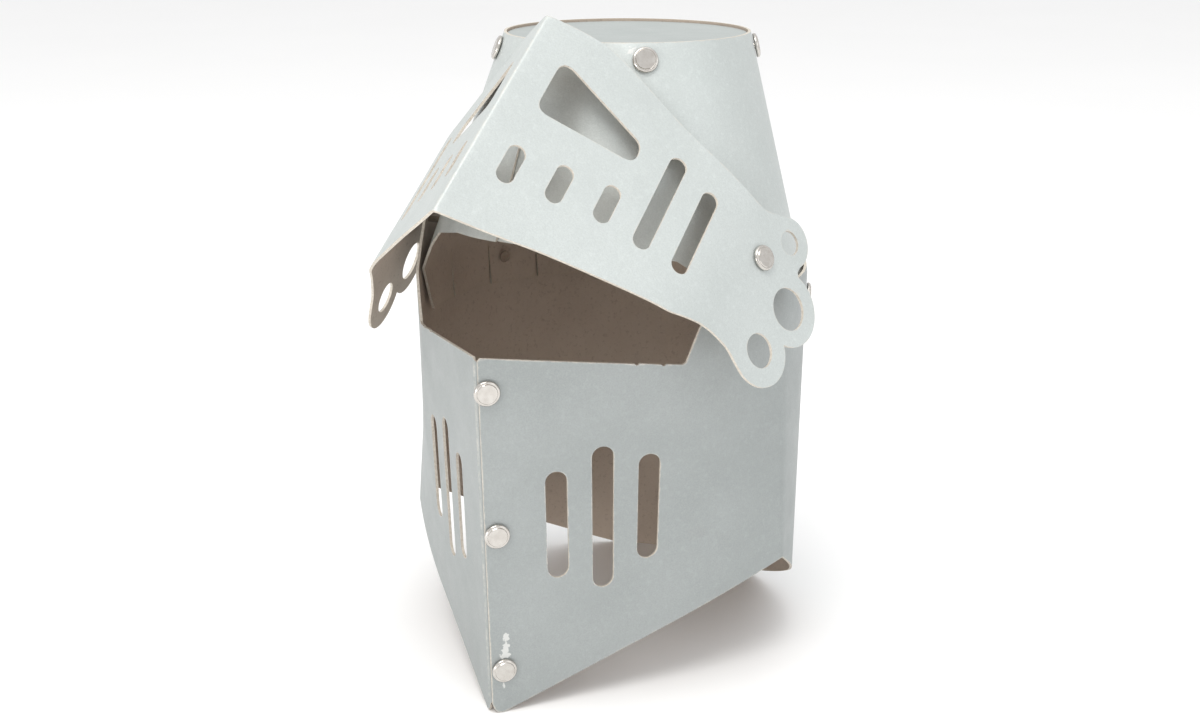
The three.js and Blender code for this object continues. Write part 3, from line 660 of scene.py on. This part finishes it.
MIDDLE = (0, 0, 0.15)
area_light("key_light", (0.1, -1.0, 2.2), MIDDLE, 1.3, 25, (1.0, 0.985, 0.96))
area_light("side_light", (2.0, -0.2, 0.9), MIDDLE, 1.3, 4, (0.95, 0.98, 1.0))
area_light("top_light", (0.4, 0.1, 2.4), MIDDLE, 1.6, 4)
area_light("low_fill", (-0.45, -1.6, 0.25), (0.03, 0.08, 0.18), 0.5, 6, (1.0, 0.97, 0.93))

world = bpy.data.worlds.new("studio")
world.use_nodes = True
world.node_tree.nodes["Background"].inputs["Color"].default_value = (1, 1, 1, 1)
world.node_tree.nodes["Background"].inputs["Strength"].default_value = 0.93
bpy.context.scene.world = world
bpy.context.scene.view_settings.view_transform = "Standard"

n = Nodes("studio_floor")
floor_tone = n.mix(n.remap(n.noise(3, 2), 0.3, 0.7), rgb(0.94, 0.94, 0.94), rgb(0.95, 0.95, 0.95))
n.join(floor_tone, n.shader.inputs["Base Color"])
n.join(0.7, n.shader.inputs["Roughness"])
FLOOR_REACH, FLOOR_Z = 14000, -0.2
corners = [(-1, -1), (1, -1), (1, 1), (-1, 1)]
floor = mesh_object(
    "studio_floor",
    [(x * FLOOR_REACH, y * FLOOR_REACH, FLOOR_Z) for x, y in corners],
    [(0, 1, 2, 3)],
    [n.material],
)

# ---------- the card pieces ----------

BOARD = board_face()
EDGE = cut_edge()
NICKEL = nickel()
# The wall's two silver tones give random unevenness. Both are set much darker than the crown's and
# visor's for the same card, as painted shade on its upright faces, which the lamps light less.
SHADED_WALL_SILVER_PALER, SHADED_WALL_SILVER_DARKER = (0.365, 0.388, 0.386), (0.33, 0.353, 0.35)


def wall_outline():
    """The flat wall: the prow at each end, shoulder arches below, raised ear tabs above."""
    foot = WALL_LEVELS[0]
    y_of = {a: wall_point(foot, "left", a)[1] for a in WALL_AZIMUTHS}
    corner = foot["left"][1]
    rear = [a for a in WALL_AZIMUTHS if a > corner and y_of[a] < ARCH_END_Y]
    lower = [(0, 4.5), (0.7, 2), (2, 0.5), (4, 0), (6, 0.5), (wall_x(corner), ARCH_TOP)]
    rise = ARCH_TOP / (ARCH_END_Y - y_of[corner])
    lower += [(wall_x(a), rise * (ARCH_END_Y - y_of[a])) for a in rear]
    arch_end = 180 - math.degrees(math.acos(ARCH_END_Y / foot["radius"]))
    lower.append((wall_x(arch_end), 0))
    upper = [(0.0, GUARD_TOP_AT_PROW - 1.5), (1.2, GUARD_TOP_AT_PROW - 0.1)]
    slope = (GUARD_TOP_AT_CHEEK - GUARD_TOP_AT_PROW) / CHEEK
    for nick in NICKS:
        z = GUARD_TOP_AT_PROW + slope * nick
        upper += [(nick - 1.0, z), (nick - 0.3, z - 0.8), (nick + 0.5, z - 0.6), (nick + 1.1, z)]
    upper += [
        (CHEEK - 1, GUARD_TOP_AT_CHEEK + 0.1),
        (CHEEK + 0.4, GUARD_TOP_AT_CHEEK + 0.9),
        (91, GUARD_TOP_AT_CHEEK + 14),
        (105.5, EAR_TAB_TOP - 4),
        (109, EAR_TAB_TOP),
        (139, EAR_TAB_TOP),
        (153, WALL_TOP),
    ]
    stretch = (WALL_FOLD_X - WALL_BACK_X) / WALL_BACK_X

    def other_side(edge):
        return [(WALL_FOLD_X - x * stretch, z) for x, z in reversed(edge)]

    tab_end = WALL_FOLD_X + PROW_TAB - 1
    bottom = [*lower, *other_side(lower)]
    top = [*upper, *other_side(upper)]
    return [*bottom, (tab_end, 12), (tab_end, GUARD_TOP_AT_PROW - 12), *top[::-1]]


def row_place(place, x, y, depth=CARD):
    """One point of a bent sheet, on its outer face unless a depth is given."""
    return place(np.array([float(x)]), np.array([float(y)]), np.array([float(depth)]))[0]


slot_places = [*zip(SLOT_X, SLOTS), *((WALL_FOLD_X - x, size) for x, size in zip(SLOT_X, SLOTS))]
wall_holes = [slot(x, middle, SLOT_WIDTH, length) for x, (middle, length) in slot_places]
wall_tears = [
    (row_place(place_on_wall, 6.6, 31), (1.5, 2.2, 3.4)),
    (row_place(place_on_wall, 7.0, 36.5), (1.2, 2.0, 1.8)),
    (row_place(place_on_wall, 6.2, 27.8), (2.6, 3.0, 1.2)),
    (row_place(place_on_wall, 5.2, 13.2), (0.5, 0.8, 1.3)),
]
# A painted shadow of the visor's lower ear lobe, darkened into the wall's silver.
wall_painted_shadows = [(row_place(place_on_wall, 96, 75), (5, 5, 4))]
SHADED_WALL_FACE = silver_face("silver_wall_painted_shade", SHADED_WALL_SILVER_PALER, SHADED_WALL_SILVER_DARKER, wall_tears, wall_painted_shadows)
wall = sheet(
    "neck_wall_card",
    wall_outline(),
    wall_holes,
    place_on_wall,
    [SHADED_WALL_FACE, BOARD, EDGE],
    creases=[WALL_FOLD_X - 0.8],
)
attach(wall, "helmet")
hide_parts("neck_wall")


def crown_outline():
    """The flat crown: the brow's curve at each end, slits along the skirt between them."""
    hem, top, brow_z = CROWN_HEM[0], CROWN_TOP[0], BROW[0][1]
    edge = [(CROWN_START, brow_z), *BROW]
    for slit in SKIRT_SLITS:
        edge += [(slit - SLIT_HALF, hem), (slit, SLIT_TOP), (slit + SLIT_HALF, hem)]
    far_brow = [(360 - a, z) for a, z in reversed(BROW) if 360 - a < CROWN_SEAM]
    return [*edge, *far_brow, (CROWN_SEAM, brow_z), (CROWN_SEAM, top), (CROWN_START, top)]


rim_at = row_place(place_on_crown, RIM_AZIMUTHS[0], RIM_Z)
crown_tears = [(rim_at + np.array([-4.4, -3.0, 4.0]), (3.2, 3.2, 2.0))]
# The crown's silver is the same card as the wall's, set much lighter: painted light for the cone,
# which leans up towards the lamps.
LIT_CROWN_FACE = silver_face("silver_crown_painted_light", (0.56, 0.595, 0.585), (0.51, 0.545, 0.535), crown_tears)
crown = sheet(
    "crown_cone_card",
    crown_outline(),
    [],
    place_on_crown,
    [LIT_CROWN_FACE, BOARD, EDGE],
    step=(3.4, 4.6),
    x_scale=DEGREE_MM,
)
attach(crown, "helmet")
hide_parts("crown_cone")


def lid_mesh():
    """A disc with four tabs folded down inside the crown."""
    share = (LID_TOP - CROWN_BEND[0]) / (CROWN_TOP[0] - CROWN_BEND[0])
    radius = CROWN_BEND[1] + (CROWN_TOP[1] - CROWN_BEND[1]) * share - CARD - 0.6
    middle = CROWN_TOP[2] * share
    face = silver_face("silver_lid", (0.45, 0.485, 0.475), (0.415, 0.45, 0.44))

    def on_lid(x, y, depth):
        return np.column_stack([x, y + middle, LID_TOP - CARD + depth])

    outline = circle(0, 0, radius, 96)
    disc = sheet("crown_lid_disc", outline, [], on_lid, [face, BOARD, EDGE], step=(5, 5))
    half, depth = LID_TAB
    tabs = []
    for k, a in enumerate(RIM_AZIMUTHS):
        bend, end = LID_TOP - 0.2, LID_TOP - depth
        tab = [(a - half, bend), (a - half + 2, end), (a + half - 2, end), (a + half, bend)]
        name, faces = f"crown_lid_tab_{k + 1}", [face, BOARD, EDGE]
        tabs.append(sheet(name, tab, [], place_under_crown, faces, x_scale=RIM_DEGREE_MM))
    return disc, tabs


lid, lid_tabs = lid_mesh()
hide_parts("crown_lid")
for piece in (lid, *lid_tabs):
    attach(piece, "helmet")


def visor_outline():
    """The flat visor: its left half, with the ear's three lobes, and the same mirrored."""
    (cx, cy, cr, _), (bx, by, br, _), (ax, ay, ar, _) = LOBES
    lower = smooth_line([(0, 125.5), (20.6, 129.8), (47.5, 136.1), (79.5, 141.8), (100.5, 145.1)])
    lower += smooth_line([(101.5, 145.4), (117.5, 150.7), (131, 151), (138, 148.7)])
    ear = arc(cx, cy, cr, -113, 46.8, 22) + arc(bx, by, br, -71, 96, 24)
    ear += [(150.4, 206.8)] + arc(ax, ay, ar, -29, 122, 20)
    upper = smooth_line(
        [(129, 221.6), (117, 218.0), (79, 224), (37.5, 237.3), (20.5, 238.8), (0, 235.4)]
    )
    left = [*lower, *ear, *upper]
    right = [(-x, y) for x, y in reversed(left[1:-1])]
    return [*left, *right]


def visor_holes():
    """The eye openings, breathing slots and lobe holes of both halves."""
    half = [rounded(EYE, 5.5)]
    half += [slot(x, y, 7.6, length) for x, y, length in BREATHS]
    half += [slot(x, y, 8.0, length) for x, y, length in LONG_BREATHS]
    half += [circle(x, y, hole) for x, y, _, hole in LOBES]
    return half + [[(-x, y) for x, y in reversed(loop)] for loop in half]


# The visor's silver is the same card as the wall's, set much lighter: painted light for the raised
# visor, whose faces tilt up towards the lamps.
LIT_VISOR_FACE = silver_face("silver_visor_painted_light", (0.57, 0.605, 0.595), (0.52, 0.555, 0.545))
visor = sheet(
    "visor_card",
    visor_outline(),
    visor_holes(),
    place_on_visor,
    [LIT_VISOR_FACE, BOARD, EDGE],
    creases=[0.0],
)
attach(visor, "visor")
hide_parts("visor_plate")

# ---------- the rivets ----------

# A head in section, as (radius, height) from the middle outward and down.
CAP = [(4.15, 1.95), (4.4, 1.62), (4.75, 1.7), (5.2, 1.5)]
CAP += [(5.5, 1.05), (5.6, 0.6), (5.45, 0.2), (5.2, 0.0)]
DISH = [(0, 1.75), (1.5, 1.78), (3.0, 1.86)]
SHANK = 1.5


def rivet_profile(grip):
    """A whole rivet in section: head, shank through the sheets, and inner cap."""
    tail = [(SHANK, 0.0), (SHANK, -grip)]
    tail += [(2.9, -grip), (3.0, -grip - 0.3), (2.7, -grip - 0.9), (0, -grip - 0.9)]
    return [*DISH, *CAP, *tail][::-1]


def out_of(place, x, y):
    """The way that a bent sheet faces at a point."""
    up = row_place(place, x, y + 1) - row_place(place, x, y - 1)
    along = row_place(place, x + 1, y) - row_place(place, x - 1, y)
    normal = np.cross(along, up)
    return normal / np.linalg.norm(normal)


def add_rivet(node, place, x, y, grip):
    outward = out_of(place, x, y)
    base = row_place(place, x, y) + outward * SEAT
    rivet = lathe(f"{node}_metal", rivet_profile(grip), base, outward, NICKEL)
    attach(rivet, "helmet")
    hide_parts(node)


two_sheets = LAP + CARD + 2 * SEAT
wall_to_skirt = 5.0
for k, (x, z) in enumerate(PROW_RIVETS):
    add_rivet(f"prow_rivet_{k + 1}", place_on_wall, x, z, two_sheets)
for k, a in enumerate(RIM_AZIMUTHS):
    add_rivet(f"rim_rivet_{k + 1}", place_on_crown, a, RIM_Z, two_sheets)
rear_x = wall_x(REAR_AZIMUTH)
for side, x in (("left", rear_x), ("right", 2 * WALL_BACK_X - rear_x)):
    add_rivet(f"rear_rivet_{side}", place_on_wall, x, REAR_Z, wall_to_skirt)


def pivot_rivet(side, sign):
    """A head that lies on the visor's ear, and a pin along the hinge with an inner cap."""
    track = visor_left if sign > 0 else visor_right
    angle = math.radians(VISOR_EARS[side])
    x = abs(track[-2][0]) + (HINGE_Y - track[-2][1]) * math.tan(angle)
    shut_out = np.array([sign * math.cos(angle), -math.sin(angle), 0])
    outward = TILT @ shut_out
    base = np.array([sign * x, HINGE_Y, HINGE_Z])
    cap = [*DISH, *CAP, (SHANK, 0.0), (SHANK, -1.4), (0, -1.4)][::-1]
    head = lathe(f"pivot_rivet_{side}_metal", cap, base + outward * SEAT, outward, NICKEL)
    across = np.array([sign, 0, 0])
    length = x - HINGE_INNER_X
    pin_profile = [(0, -0.5), (2.7, -0.5), (3.0, -0.2), (3.0, 0.4)]
    pin_profile += [(SHANK, 0.4), (SHANK, length), (0, length)]
    inner = np.array([sign * HINGE_INNER_X, HINGE_Y, HINGE_Z])
    pin = lathe(f"pivot_pin_{side}_metal", pin_profile, inner, across, NICKEL, sides=32)
    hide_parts(f"pivot_rivet_{side}")
    for piece in (head, pin):
        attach(piece, "visor")


pivot_rivet("left", 1)
pivot_rivet("right", -1)
